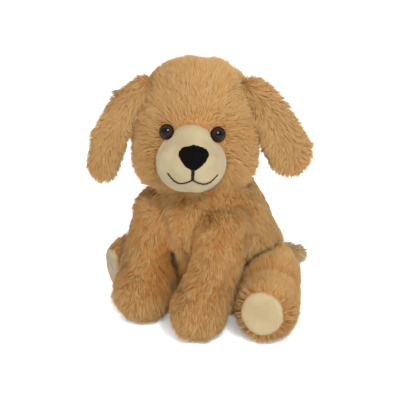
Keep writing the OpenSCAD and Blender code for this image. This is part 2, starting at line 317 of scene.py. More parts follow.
def fur_material(name, root, mid, tip, dark, pale):
    """The colour of a lock: v goes from root to tip, and u is its own shade, from dark to pale. The root is
    darker than the tip as painted shade deep in the pile, and u holds painted shade of creases and seams as
    well as each lock's own tone.
    """
    m = Nodes(name)
    uv = m.add("ShaderNodeUVMap", uv_map="OFBake").outputs["UV"]
    parts = m.add("ShaderNodeSeparateXYZ", {"Vector": uv})
    u, v = parts.outputs["X"], parts.outputs["Y"]
    along = m.ramp(v, ((0.0, root), (1.0, tip), (0.42, mid)))
    tint = m.ramp(u, ((0.0, dark), (1.0, pale), (0.5, (1, 1, 1, 1))))
    m.set(Base_Color=m.mix(1.0, along, tint, "MULTIPLY"), Roughness=0.78)
    m.shader.inputs["Specular IOR Level"].default_value = 0.22
    m.shader.inputs["Sheen Weight"].default_value = 0.20
    m.shader.inputs["Sheen Roughness"].default_value = 0.45
    m.shader.inputs["Sheen Tint"].default_value = srgb(232, 190, 140)
    return m.mat


def pile_backing(name, low, high):
    """The woven ground that the locks stand on."""
    m = Nodes(name)
    n = m.noise(900, 4.0)
    big = m.noise(60, 2.0)
    m.set(Base_Color=m.mix(m.math("MULTIPLY", n, big), low, high), Roughness=0.95)
    m.bump(n, 0.6, 0.0006)
    return m.mat


def velour_material(name, low, mid, high):
    """Short clipped pile: fine grain, with soft lighter and darker patches of painted sheen where the pile
    is brushed another way.
    """
    m = Nodes(name)
    grain = m.noise(1500, 3.0)
    # Painted sheen in soft patches where the pile is brushed another way.
    brushed_sheen_patch = m.noise(55, 2.5)
    base = m.ramp(m.math("ADD", m.math("MULTIPLY", grain, 0.35), m.math("MULTIPLY", brushed_sheen_patch, 0.65)),
                  ((0.3, low), (0.72, high), (0.5, mid)))
    m.set(Base_Color=base, Roughness=0.88)
    m.shader.inputs["Specular IOR Level"].default_value = 0.2
    m.shader.inputs["Sheen Weight"].default_value = 0.35
    m.shader.inputs["Sheen Roughness"].default_value = 0.4
    m.bump(grain, 0.35, 0.0004)
    return m.mat


def thread_material(name, low, high, rough=0.55, gloss=0.18):
    m = Nodes(name)
    n = m.noise(2600, 2.0)
    m.set(Base_Color=m.mix(n, low, high), Roughness=m.math("ADD", m.math("MULTIPLY", n, 0.2), rough))
    m.shader.inputs["Specular IOR Level"].default_value = gloss
    m.bump(n, 0.3, 0.0002)
    return m.mat


def moulded_material(name, low, high, rough):
    m = Nodes(name)
    n = m.noise(700, 3.0)
    m.set(Base_Color=m.mix(n, low, high), Roughness=m.math("ADD", m.math("MULTIPLY", n, 0.1), rough))
    m.bump(n, 0.1, 0.0001)
    return m.mat


def fibre_material(name, low, high):
    """Loose filling, as swirling strands."""
    m = Nodes(name)
    coords = m.object_coords()
    swirl = m.vector_math("MULTIPLY", m.noise(120, 5.0, out="Color"), (0.01, 0.01, 0.01))
    n = m.noise(450, 6.0, vector=m.vector_math("ADD", coords, swirl))
    m.set(Base_Color=m.mix(n, low, high), Roughness=0.95)
    m.bump(n, 0.8, 0.002)
    return m.mat


def eye_material(name, node):
    """Brown iris round a black pupil under clear gloss, centred on the eye's own axis."""
    v, _ = node_arrays(node)
    centre = v.mean(0)
    axis = np.linalg.eigh(np.cov((v - centre).T))[1][:, 0]
    m = Nodes(name)
    away = m.vector_math("SUBTRACT", m.object_coords(), tuple(centre * MM))
    radius = m.vector_math("LENGTH", m.vector_math("CROSS_PRODUCT", away, tuple(axis)), out="Value")
    share = m.math("MULTIPLY", radius, 1 / (EYE_RADIUS * MM))
    streak = m.noise(1400, 2.0)
    iris = m.mix(streak, srgb(20, 11, 7), srgb(46, 26, 15))
    black, white = (0, 0, 0, 1), (1, 1, 1, 1)
    ring = m.ramp(share, ((0.0, black), (1.0, black), (0.50, black), (0.58, white),
                          (0.86, white), (0.94, black)))
    m.set(Base_Color=m.mix(ring, srgb(7, 5, 4), iris), Roughness=0.5)
    m.shader.inputs["Specular IOR Level"].default_value = 0.0
    m.shader.inputs["Coat Weight"].default_value = 0.32
    m.shader.inputs["Coat Roughness"].default_value = 0.03
    m.shader.inputs["Coat IOR"].default_value = 1.5
    return m.mat


# Each pile's root colour is darker than its tip: painted shade deep in the pile.
TAN = fur_material("tan_long_pile", srgb(138, 86, 35), srgb(154, 114, 65), srgb(167, 135, 88),
                   (0.90, 0.62, 0.33, 1), (1.14, 1.26, 1.50, 1))
PALE_TAN = fur_material("pale_tail_pile", srgb(154, 112, 66), srgb(176, 145, 102), srgb(192, 166, 126),
                        (0.84, 0.70, 0.50, 1), (1.10, 1.16, 1.24, 1))
TAN_BACKING = pile_backing("tan_pile_backing", srgb(138, 92, 44), srgb(158, 114, 64))
CREAM = velour_material("cream_short_pile", srgb(133, 119, 90), srgb(146, 133, 103), srgb(156, 144, 114))
CREAM_PILE = fur_material("cream_pile_tips", srgb(134, 121, 92), srgb(146, 133, 103), srgb(158, 146, 116),
                          (0.9, 0.88, 0.84, 1), (1.06, 1.06, 1.06, 1))
PAD_CREAM = velour_material("cream_pad_pile", srgb(135, 118, 86), srgb(150, 133, 100), srgb(160, 144, 111))
PAD_PILE = fur_material("cream_pad_tips", srgb(137, 120, 88), srgb(150, 134, 101), srgb(162, 146, 113),
                        (0.9, 0.88, 0.84, 1), (1.06, 1.06, 1.06, 1))
NOSE_THREAD = thread_material("black_nose_thread", srgb(3, 2, 2), srgb(9, 7, 6), 0.65, 0.05)
MOUTH_THREAD = thread_material("dark_mouth_thread", srgb(12, 8, 6), srgb(26, 18, 13), 0.5, 0.1)
SEWING_THREAD = thread_material("tan_sewing_thread", srgb(104, 72, 38), srgb(132, 96, 56), 0.6)
FIBRE = fibre_material("white_fibre_fill", srgb(205, 205, 205), srgb(245, 245, 243))
BAG_CLOTH = velour_material("pellet_bag_cloth", srgb(196, 192, 184), srgb(214, 210, 202),
                            srgb(230, 227, 220))
PELLETS = moulded_material("pellet_grains", srgb(200, 202, 204), srgb(238, 238, 236), 0.4)
STEM = moulded_material("black_eye_stem", srgb(10, 9, 8), srgb(28, 26, 24), 0.35)
WASHER = moulded_material("white_eye_washer", srgb(214, 212, 205), srgb(238, 236, 230), 0.4)

# The pieces that keep their CAD mesh.
CARRIED = {
    "pellet_bag": BAG_CLOTH, "seat_pellets": PELLETS, "closing_stitches": SEWING_THREAD,
    "left_eye_stem": STEM, "right_eye_stem": STEM,
    "left_eye_washer": WASHER, "right_eye_washer": WASHER,
    "left_eye_dome": eye_material("left_eye_gloss", "left_eye_dome"),
    "right_eye_dome": eye_material("right_eye_gloss", "right_eye_dome"),
}
for node, mat in CARRIED.items():
    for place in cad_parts[node].material_slots:
        place.material = mat

# ---------------------------------------------------------------- stuffed skins under the pile
# How far from its joint, in millimetres, a limb goes over into the body it is sewn to.
ROOT = {"left_ear": ("head", 14), "right_ear": ("head", 14), "left_front_leg": ("torso", 26),
        "right_front_leg": ("torso", 26), "left_hind_leg": ("torso", 24), "right_hind_leg": ("torso", 24),
        "tail": ("torso", 10)}


def attach(ob, body):
    """A piece of a limb stays where it is in the world, and any other piece rides on its body."""
    if body not in ROOT:
        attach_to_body(ob, body)
        return
    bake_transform(ob)


SKIN_VOXEL, SKIN_SMOOTH = 2.8, 6
EAR_VOXEL, EAR_SMOOTH = 2.0, 3
# How far a skin lies inside the CAD covers: DEEP unless given, and SHALLOW at a short-pile panel.
SKIN_DEPTH = {"head": 2.6, "left_ear": 0.8, "right_ear": 1.8}
DEEP, SHALLOW = 3.6, 1.3
# The most that the stuffing swells a skin, and the frames of cloth simulation that it takes.
SKIN_SWELL, CLOTH_FRAMES = 1.6, 12
# How far the crease over a hind leg's ankle is from the foot's middle, its width and its depth.
ANKLE_AT, ANKLE_WIDTH, ANKLE_DEPTH = 21.0, 5.5, 3.6


class Skin:
    """A closed surface that pile grows from, and the CAD cover that each of its faces belongs to."""

    def __init__(self, bodies, verts, tris):
        self.verts, self.tris = verts, tris
        self.normals = vertex_normals(verts, tris)
        self.tree = tree_of(verts, tris)
        self.covers = [n for b in bodies for n in COVERS[b]]
        parts = [node_arrays(n) for n in self.covers]
        owners = np.concatenate([np.full(len(t), i) for i, (v, t) in enumerate(parts)])
        tree = tree_of(*joined(parts))
        self.owner = owners[[tree.find_nearest(p)[2] for p in verts[tris].mean(1).tolist()]]

    def faces_of(self, node):
        return np.flatnonzero(self.owner == self.covers.index(node))


def ankle(body, p):
    """1 in the crease over the ankle of a hind leg, and 0 away from it."""
    hip, foot = np.array(LIMB_PATH[body], float)
    along = (p - foot) @ unit(hip - foot)
    return np.exp(-((along - ANKLE_AT) / ANKLE_WIDTH) ** 2) * ease(p[:, 2], 18, 38)


def raw_skin(body):
    """The body's covers and stuffing as one skin, drawn in by the depth of the pile."""
    parts = [node_arrays(n) for n in COVERS[body]]
    if body in STUFFING:
        parts.append(node_arrays(STUFFING[body]))
    voxel, smooth = (EAR_VOXEL, EAR_SMOOTH) if body.endswith("ear") else (SKIN_VOXEL, SKIN_SMOOTH)
    v, t = remeshed(parts, voxel, smooth)
    depth = np.full(len(v), SKIN_DEPTH.get(body, DEEP))
    for node in SHORT_PILE:
        if node in COVERS[body]:
            away = distance_to(tree_of(*node_arrays(node)), v, 14)
            depth = SHALLOW + (depth - SHALLOW) * ease(away, 1.5, 11)
    if body.endswith("hind_leg"):
        depth = depth + ANKLE_DEPTH * ankle(body, v)
    return v - vertex_normals(v, t) * depth[:, None], t


def stuffed(skins):
    """The skins blown up against their own stretch by a cloth simulation, as stuffing does."""
    verts, tris = joined(skins)
    ob = mesh_object("tmp", verts, tris, None)
    cloth = ob.modifiers.new("stuffing", "CLOTH").settings
    cloth.quality, cloth.mass = 4, 0.3
    cloth.tension_stiffness = cloth.compression_stiffness = cloth.shear_stiffness = 12
    cloth.bending_stiffness = 0.4
    cloth.use_pressure, cloth.uniform_pressure_force = True, 4.0
    cloth.effector_weights.gravity = 0
    scene = bpy.context.scene
    for f in range(1, CLOTH_FRAMES + 1):
        scene.frame_set(f)
    out, _ = evaluated(ob)
    scene.frame_set(1)
    move = out - verts
    far = np.linalg.norm(move, axis=1, keepdims=True)
    verts = verts + move * np.minimum(1, SKIN_SWELL / np.maximum(far, 1e-6))
    out, at = [], 0
    for v, t in skins:
        out.append((verts[at:at + len(v)], t))
        at += len(v)
    return out


RAW = {b: raw_skin(b) for b in COVERS}
RAW = dict(zip(RAW, stuffed(list(RAW.values()))))
SKINS = {b: Skin((b,), v, t) for b, (v, t) in RAW.items()}
FIBRE_VOXEL, FIBRE_SMOOTH, FIBRE_DEPTH = 4.0, 12, 2.0


def fibre_inside(skin, node):
    """The stuffing as a soft lump that stays clear below its skin."""
    v, t = remeshed([node_arrays(node)], FIBRE_VOXEL, FIBRE_SMOOTH)
    for _ in range(3):
        for i, p in enumerate(v.tolist()):
            at, normal = skin.tree.find_nearest(p)[:2]
            short = FIBRE_DEPTH - (at - Vector(p)) @ normal
            if short > 0:
                v[i] -= np.array(normal) * short
    return v, t


for body, skin in SKINS.items():
    ob = mesh_object(body + "_pile_backing", skin.verts, skin.tris, TAN_BACKING)
    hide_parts(*COVERS[body])
    attach(ob, body)
    if body in STUFFING:
        ob = mesh_object(STUFFING[body] + "_fibre", *fibre_inside(skin, STUFFING[body]), FIBRE)
        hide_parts(STUFFING[body])
        attach(ob, body)

# The pile of the chest and the front legs grows as one coat, over the creases between them and
# under the chin. Below COAT_LOW the two legs stand apart.
COAT_BODIES, COAT_REACH, COAT_LOW = ("torso", "left_front_leg", "right_front_leg"), 7.0, 62.0
# The coat's fillet under the chin belongs to the chest, where it stands clear of the head.
FILLET_GAP, FILLET_TOP = 0.4, 128.0


def coat_over(bodies, reach):
    """One skin over the bodies, with every crease narrower than twice the reach filled."""
    tops = []
    for b in bodies + ("head",):
        v = SKINS[b].verts.copy()
        v[:, 2] = np.maximum(v[:, 2], COAT_LOW)
        tops.append((v, SKINS[b].tris))
    v, t = remeshed(tops, SKIN_VOXEL, 2)
    v, t = remeshed([(v + vertex_normals(v, t) * reach, t)], SKIN_VOXEL, 4)
    v = v - vertex_normals(v, t) * reach
    v, t = remeshed([(v, t)] + [(SKINS[b].verts, SKINS[b].tris) for b in bodies], SKIN_VOXEL, 4)
    return Skin(bodies + ("head",), v, t)


def give_fillet_to_chest(coat):
    middle = coat.verts[coat.tris].mean(1)
    clear = (distance_to(SKINS["head"].tree, middle, 4.0) > FILLET_GAP) & (middle[:, 2] < FILLET_TOP)
    of_head = coat.owner >= len(coat.covers) - len(COVERS["head"])
    coat.owner[clear & of_head] = coat.covers.index("chest_panel")


COAT = coat_over(COAT_BODIES, COAT_REACH)
give_fillet_to_chest(COAT)

MUZZLE_TREE = tree_of(*node_arrays("muzzle_panel"))
EYES = np.array([node_arrays(n)[0].mean(0) for n in ("left_eye_dome", "right_eye_dome")])
PAD_TREES = {n: tree_of(*node_arrays(n)) for n in ("left_foot_pad", "right_foot_pad")}


# ---------------------------------------------------------------- which way the pile lies
# The pile of the face spreads from this place of the head, behind the nose.
FACE_MIDDLE = np.array((-1.5, -42.0, -6.0))


def head_flow(p):
    """Away from the middle of the face, down the back of the head, and in towards each eye's rim."""
    q = to_head(p)
    out = unit(q - FACE_MIDDLE)
    back = ease(q[:, 1], -2, 26)[:, None]
    d = out * (1 - back) + np.array((0, 0.25, -1.0)) * back
    d[:, 2] -= 0.2
    d = d @ HEAD_TURN.T
    for e in EYES:
        close = 1 - ease(np.linalg.norm(p - e, axis=1), 7.5, 9.5)[:, None]
        d = d * (1 - close) + unit(e - p) * close
    return d


def ear_flow(body):
    path = from_head(EAR_PATH[body])

    def flow(p):
        near, way = nearest_on(path, p)
        return way + 0.085 * (p - near) + np.array((0, 0, -0.15))

    return flow


def torso_flow(p):
    d = np.zeros_like(p)
    front = ease(-p[:, 1], 0, 40)
    d[:, 0] = 0.5 * np.tanh(p[:, 0] / 10) * front + 0.1 * np.sign(p[:, 0])
    d[:, 1] = -0.4 * front
    d[:, 2] = -1
    rim = (ease(p[:, 2], 118, 128) * ease(p[:, 1], -34, -22))[:, None]
    return d * (1 - rim) + np.array((0, 0, 1.0)) * rim


def front_leg_flow(body):
    path = LIMB_PATH[body]
    side = 1 if body.startswith("left") else -1
    start, first = np.array(path[0], float), unit(np.array(path[1], float) - path[0])

    def flow(p):
        near, way = nearest_on(path, p)
        seam = np.tanh((p[:, 0] - side * LEG_SEAM_X) / 7) * ease(-(p[:, 1] - near[:, 1]), 0, 10)
        low = ease((p - start) @ first, -8, 26)[:, None]
        d = way * low + torso_flow(p) * (1 - low)
        d[:, 0] += 0.25 * seam
        return d

    return flow


def hind_flow(body):
    """Away from the sole, over the foot and up the thigh."""
    path = LIMB_PATH[body]
    foot = np.array(path[-1], float)

    def flow(p):
        near, way = nearest_on(path, p)
        return 0.9 * unit(p - foot - 14 * way) - 0.5 * way + np.array((0, 0, 0.1))

    return flow


def tail_flow(p):
    return nearest_on(LIMB_PATH["tail"], p)[1] + np.array((0, 0, -0.15))


def neck_flow(p):
    return unit(p - p.mean(0)) * np.array((1, 1, 0.2)) + np.array((0, 0, -0.3))


FLOW = {"torso": torso_flow, "head": head_flow, "tail": tail_flow, "neck": neck_flow}
for side in ("left_", "right_"):
    FLOW[side + "ear"] = ear_flow(side + "ear")
    FLOW[side + "front_leg"] = front_leg_flow(side + "front_leg")
    FLOW[side + "hind_leg"] = hind_flow(side + "hind_leg")


# ---------------------------------------------------------------- growing pile
def scatter(skin, faces, density, rng):
    """Points spread evenly over some faces of a skin, and the skin's normals there."""
    t = skin.tris[faces]
    a, b, c = (skin.verts[t[:, i]] for i in range(3))
    area = np.linalg.norm(np.cross(b - a, c - a), axis=1) / 2
    total = np.cumsum(area)
    n = max(1, int(total[-1] * density))
    pick = np.minimum(np.searchsorted(total, (np.arange(n) + rng.random(n)) / n * total[-1]), len(t) - 1)
    r, s = np.sqrt(rng.random(n))[:, None], rng.random(n)[:, None]
    w = (1 - r, r * (1 - s), r * s)
    p = sum(w[i] * skin.verts[t[pick, i]] for i in range(3))
    nrm = unit(sum(w[i] * skin.normals[t[pick, i]] for i in range(3)))
    return p, nrm


def turned(t, n, angle):
    """Directions t turned about normals n."""
    c, s = np.cos(angle)[:, None], np.sin(angle)[:, None]
    return t * c + np.cross(n, t) * s


# What one coat of pile is like: its locks and tufts for each square millimetre, a lock's width, its
# lean in degrees at root and tip, its number of rings, its share of the length that the panel asks
# for, and how far its tip is pulled towards its tuft.
TOP = {"density": 0.95, "tufts": 0.10, "width": 0.60, "lean": (32, 74),
       "rings": 2, "share": 1.0, "pull": 0.5}
UNDER = {"density": 1.15, "tufts": 0.16, "width": 0.72, "lean": (40, 40),
         "rings": 1, "share": 0.72, "pull": 0.4}
HIDDEN = {"density": 0.35, "tufts": 0.10, "width": 0.90, "lean": (45, 45),
          "rings": 1, "share": 0.5, "pull": 0.2}
CLIPPED = {"density": 2.6, "tufts": 0.40, "width": 0.40, "lean": (30, 55),
           "rings": 1, "share": 1.0, "pull": 0.25}
# HIDDEN pile grows on a skin where the shared coat lies more than this above it.
HIDDEN_BELOW = 2.0
# A lock is bent in this many steps, starts this far below its skin and ends this far above the floor.
STEPS, ROOT_SUNK, TIP_LOWEST, ROOT_LOWEST = 12, 0.5, 0.35, 0.05
# How far, in radians, the pile swirls over wide patches and small ones, and a single lock strays.
SWIRL, RUFFLE, STRAY = 0.42, 0.22, 0.20


def lock_lines(p, n, flow, length, lean, stiff, rings, rng):
    """The points of each lock from root to tip: (locks, points, 3)."""
    t = flow(p)
    t = unit(t - (t * n).sum(1, keepdims=True) * n)
    t = turned(t, n, SWIRL * wave(p, 26, 5) + RUFFLE * wave(p, 9, 6) + rng.normal(0, STRAY, len(p)))
    first, last = (np.radians(v) for v in lean)
    wobble = rng.normal(0, 0.13, len(p)) + 0.12 * wave(p, 7, 7)
    out = []
    at = p - ROOT_SUNK * n
    for i in range(STEPS + 1):
        if i * rings % STEPS == 0:
            out.append(at.copy())
        th = ((first + (last - first) * i / STEPS) * stiff + wobble)[:, None]
        at = at + (n * np.cos(th) + t * np.sin(th)) * (length / STEPS)[:, None]
    return np.stack(out, 1)


def room_for(p, n, line, skin, bodies):
    """How much of each lock fits before it meets a neighbouring body or the far side of a crease."""
    scale = np.ones(len(p))
    others = [(SKINS[b].tree, SKINS[b].verts, 0.2, 1.0, 0.25) for b in bodies]
    for tree, verts, start, gap, least in others + [(skin.tree, skin.verts, 0.8, 0.0, 0.5)]:
        lo, hi = verts.min(0) - 12, verts.max(0) + 12
        for i in np.flatnonzero(((p > lo) & (p < hi)).all(1)).tolist():
            d = line[i, -1] - p[i]
            reach = np.linalg.norm(d)
            hit = tree.ray_cast((p[i] + start * n[i]).tolist(), (d / reach).tolist(), reach + 1.0)[3]
            if hit is not None:
                scale[i] = min(scale[i], max(least, (hit - gap) / reach))
    return scale


def locks(skin, faces, coat, flow, length_of, shade_of, bodies, seed, stiff_of=None, keep=None,
          patchy=0.0):
    """Three-sided tapering locks as vertices, normals, shades, quads and triangles."""
    rng = np.random.default_rng(seed)
    p, n = scatter(skin, faces, coat["density"], rng)
    if keep is not None:
        ok = keep(p)
        p, n = p[ok], n[ok]
    count, rings = len(p), coat["rings"]
    length = length_of(p) * coat["share"] * rng.uniform(0.8, 1.12, count)
    stiff = np.ones(count) if stiff_of is None else stiff_of(p)
    line = lock_lines(p, n, flow, length, coat["lean"], stiff, rings, rng)
    # Locks near each other lean together, so that the pile parts into tufts.
    cp, cn = scatter(skin, faces, coat["tufts"], rng)
    cstiff = np.ones(len(cp)) if stiff_of is None else stiff_of(cp)
    centre = lock_lines(cp, cn, flow, length_of(cp) * coat["share"], coat["lean"], cstiff, 1, rng)[:, 1]
    kd = KDTree(len(cp))
    for i, c in enumerate(cp.tolist()):
        kd.insert(c, i)
    kd.balance()
    near = np.array([kd.find(q)[1] for q in p.tolist()])
    strength = coat["pull"] * rng.uniform(0.3, 1.1, count)
    tip = line[:, -1].copy()
    for i in range(rings + 1):
        line[:, i] += (strength * (i / rings) ** 1.6)[:, None] * (centre[near] - tip)
    scale = room_for(p, n, line, skin, bodies)
    line = p[:, None] + (line - p[:, None]) * scale[:, None, None]
    line[:, :, 2] = np.maximum(line[:, :, 2], TIP_LOWEST)
    wide = coat["width"] * rng.uniform(0.75, 1.25, count) * np.clip(scale, 0.5, 1)
    shade = shade_of(p) + rng.normal(0, 0.09, count) + patchy * rng.normal(size=len(cp))[near]
    shade = np.clip(shade, 0.02, 0.96)
    spin = rng.uniform(0, 2 * math.pi, count)
    verts, normals, uvs = [], [], []
    for r in range(rings):
        d = unit(line[:, r + 1] - line[:, max(r - 1, 0)])
        side = unit(np.cross(d, n))
        up = np.cross(side, d)
        for k in range(3):
            a = spin + 2 * math.pi * k / 3
            o = side * np.cos(a)[:, None] + up * np.sin(a)[:, None]
            verts.append(line[:, r] + o * (wide * (0.5 - 0.1 * r))[:, None])
            normals.append(unit(o * 0.2 + (0.75 * n + 0.25 * up) * 0.8))
            uvs.append(np.stack((shade + 0.012 * k, np.full(count, r / rings)), 1))
    verts.append(line[:, -1])
    normals.append(unit(0.65 * n + 0.35 * up))
    uvs.append(np.stack((shade + 0.012, np.ones(count)), 1))
    per = rings * 3 + 1
    base = np.arange(count)[:, None] * per
    quads, tris = [np.zeros((0, 4), int)], []
    for k in range(3):
        j = (k + 1) % 3
        for r in range(rings - 1):
            quads.append(base + np.array((r * 3 + j, r * 3 + k, (r + 1) * 3 + k, (r + 1) * 3 + j)))
        tris.append(base + np.array(((rings - 1) * 3 + j, (rings - 1) * 3 + k, per - 1)))
    verts = np.stack(verts, 1).reshape(-1, 3)
    verts[:, 2] = np.maximum(verts[:, 2], ROOT_LOWEST)
    normals, uvs = np.stack(normals, 1).reshape(-1, 3), np.stack(uvs, 1).reshape(-1, 2)
    return verts, normals, uvs, np.concatenate(quads), np.concatenate(tris)


def pile_object(name, coats, mat):
    at = np.cumsum([0] + [len(c[0]) for c in coats])
    quads = np.concatenate([c[3] + a for c, a in zip(coats, at)])
    tris = np.concatenate([c[4] + a for c, a in zip(coats, at)])
    verts, normals, uvs = (np.concatenate([c[i] for c in coats]) for i in range(3))
    return mesh_object(name, verts, [quads, tris], mat, normals=normals, uv=uvs)


def uneven(p, size, seed):
    """Pile is a little longer and shorter in patches of that size."""
    return 1 + 0.12 * wave(p, size, seed)


def pressed(p):
    """Pile is shorter close to the floor."""
    return 1 - 0.3 * ease(-p[:, 2], -9, -3)


def eye_distance(p):
    return np.minimum(*(np.linalg.norm(p - e, axis=1) for e in EYES))


def head_length(p):
    """Short round the eyes and the muzzle, and longer on the nape and the jowls."""
    edge = ease(distance_to(MUZZLE_TREE, p, 16), 0.5, 12)
    eye = ease(eye_distance(p), 6, 14)
    q = to_head(p)
    nape = ease(-q[:, 2], 24, 40) * ease(q[:, 1], -12, 8)
    jowl = ease(-q[:, 2], 20, 30) * edge
    return (5.6 + 3.8 * edge + 5 * nape + 3 * jowl) * (0.7 + 0.3 * eye) * (1 + 0.10 * wave(p, 18, 21))


def away_from_eyes(p):
    return eye_distance(p) > EYE_RADIUS + 0.2


def head_stiff(p):
    """Pile stands up round the eyes and along the edge of the muzzle, and lies down elsewhere."""
    edge = 0.4 + 0.6 * ease(distance_to(MUZZLE_TREE, p, 16), 0.5, 9)
    eye = 0.6 + 0.4 * ease(eye_distance(p), 7.5, 12)
    return np.minimum(edge, eye)


# How much painted shade darkens the pile along the chest panel's seams.
SEAM_PAINTED_SHADE = 0.28


def chest_seam(p):
    """1 along the two seams of the chest panel, the puppy's left one the deeper, and 0 away from them."""
    left = np.exp(-((p[:, 0] - CHEST_SEAM_X) / CHEST_SEAM_WIDTH) ** 2)
    right = np.exp(-((p[:, 0] + CHEST_SEAM_X) / CHEST_SEAM_WIDTH) ** 2)
    return (left + 0.45 * right) * (p[:, 1] < -24) * ease(p[:, 2], 66, 78)


def torso_length(p):
    """Shorter down the middle of the chest, along its seams and on the shoulders."""
    seam = ease(np.abs(p[:, 0]) + 40 * (p[:, 1] > 0), 0.3, 3.5)
    shoulder = ease(np.abs(p[:, 0]), 18, 30) * ease(p[:, 2], 84, 100) * ease(-p[:, 2], -126, -120)
    seam = seam * (1 - 0.5 * chest_seam(p))
    return (6.5 + 2.5 * seam - 2.5 * shoulder) * uneven(p, 20, 22) * pressed(p)


def leg_length(body):
    """The left leg's pile is shorter on the inside, and the right one's a little longer."""
    inward, less = (-1, 5.5) if body.startswith("left") else (1, -1.5)

    def length(p):
        near, _ = nearest_on(LIMB_PATH[body], p)
        inner = ease((p[:, 0] - near[:, 0]) * inward, 6, 18)
        return (9.0 - less * inner) * uneven(p, 18, 23) * pressed(p)

    return length


def hind_length(body):
    """Shorter at the rim of the sole."""
    tree = PAD_TREES[body.split("_")[0] + "_foot_pad"]
    rim = 7.0 if body.startswith("left") else 4.0

    def length(p):
        edge = ease(distance_to(tree, p, 14), 0.5, 8)
        return (rim + (9.7 - rim) * edge) * uneven(p, 18, 24) * pressed(p)

    return length


def ear_length(p):
    return np.where(to_head(p)[:, 0] > 0, 9.5, 8.2) * uneven(p, 16, 25)


def hind_stiff(body):
    tree = PAD_TREES[body.split("_")[0] + "_foot_pad"]
    return lambda p: 0.5 + 0.5 * ease(distance_to(tree, p, 14), 0.5, 9)


def tail_length(p):
    return 10.0 * uneven(p, 14, 26)


def neck_length(p):
    return np.full(len(p), 9.0)


LENGTH = {"torso": torso_length, "head": head_length, "tail": tail_length, "neck": neck_length}
for side in ("left_", "right_"):
    LENGTH[side + "ear"] = ear_length
    LENGTH[side + "front_leg"] = leg_length(side + "front_leg")
    LENGTH[side + "hind_leg"] = hind_length(side + "hind_leg")


def shade_for(body):
    """How dark or pale the locks of a body are, from 0 to 1: paler on the crown, ears and tail, with
    painted shade in the creases, under the head, between the front legs and along the seams.
    """
    def shade(p):
        s = 0.46 + 0.05 * wave(p, 30, 31) + 0.05 * wave(p, 8, 32)
        if body == "head":
            s = s + 0.12 * ease(to_head(p)[:, 2], -10, 30)
        elif body.endswith("ear"):
            s = s + 0.10
        elif body == "torso":
            # Painted shade down the chest's middle seam and towards the front of the chest, under the head.
            seam = 1 - ease(np.abs(p[:, 0]), 0.5, 6)
            s = s - 0.12 * seam * (p[:, 1] < 0) - 0.06 * ease(-p[:, 1], 20, 45)
            # Painted shade on the chest just under the head.
            painted_shade_under_head = 1 - ease(distance_to(SKINS["head"].tree, p, 20), 4, 18)
            s = s - 0.06 * painted_shade_under_head * (p[:, 1] < -20)
            # Painted shade in the chest panel's two seams.
            s = s - SEAM_PAINTED_SHADE * chest_seam(p)
            # Painted shade deep between the front legs.
            painted_shade_between_legs = ease(-np.abs(p[:, 0] + 2), -22, -14) * (p[:, 1] < -10)
            s = s - 0.42 * ease(-p[:, 2], -58, -46) * painted_shade_between_legs
        elif body.endswith("front_leg"):
            near, _ = nearest_on(LIMB_PATH[body], p)
            # Painted shade on the inner side of each front leg, deeper on the right leg.
            inner = ease((near[:, 0] - p[:, 0]) * np.sign(near[:, 0]), 4, 16)
            inner = inner * ease(p[:, 2], 22, 40) * ease(-p[:, 2], -82, -66)
            inside = 0.12 if body.startswith("left") else 0.34
            s = s - 0.12 + 0.16 * ease(-p[:, 2], -40, -15) - inside * inner
            # Painted shade in the chest panel's seams where they run onto the leg.
            s = s - SEAM_PAINTED_SHADE * chest_seam(p)
        elif body.endswith("hind_leg"):
            # Painted shade in the crease over the ankle.
            s = s + 0.02 - 0.28 * ankle(body, p)
        elif body == "tail":
            s = s + 0.05
        return s

    return shade


def grow_pile(body, skin):
    """Every long-pile panel of the body gets its own pile."""
    outer = COAT if body in COAT_BODIES else skin
    extra = {}
    if body == "head":
        extra = {"keep": away_from_eyes, "stiff_of": head_stiff}
    elif body.endswith("hind_leg"):
        extra = {"stiff_of": hind_stiff(body), "patchy": 0.08}
    elif body.endswith("front_leg"):
        extra = {"patchy": 0.13}
    given = {"flow": FLOW[body], "length_of": LENGTH[body], "shade_of": shade_for(body),
             "bodies": NEIGHBOURS[body]}
    for i, node in enumerate(COVERS[body]):
        if node in SHORT_PILE:
            continue
        seed = 100 + 10 * list(SKINS).index(body) + i
        faces = outer.faces_of(node)
        coats = [locks(outer, faces, TOP, seed=seed, **given, **extra),
                 locks(outer, faces, UNDER, seed=seed + 400, **given, **extra)]
        if outer is COAT:
            under = skin.faces_of(node)
            depth = distance_to(COAT.tree, skin.verts[skin.tris[under]].mean(1), 4.0)
            under = under[depth > HIDDEN_BELOW]
            if len(under):
                coats.append(locks(skin, under, HIDDEN, seed=seed + 800, **given))
        ob = pile_object(node + "_pile", coats, PALE_TAN if body == "tail" else TAN)
        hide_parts(node)
        attach(ob, body)


for body, skin in SKINS.items():
    grow_pile(body, skin)

# ---------------------------------------------------------------- clipped muzzle and foot pads
CLIPPED_VOXEL, CLIPPED_SMOOTH, CLIPPED_LENGTH = 0.9, 3, 1.3


def clipped_length(p):
    return np.full(len(p), CLIPPED_LENGTH)


def clipped_shade(p):
    return 0.5 + 0.2 * wave(p, 20, 41)


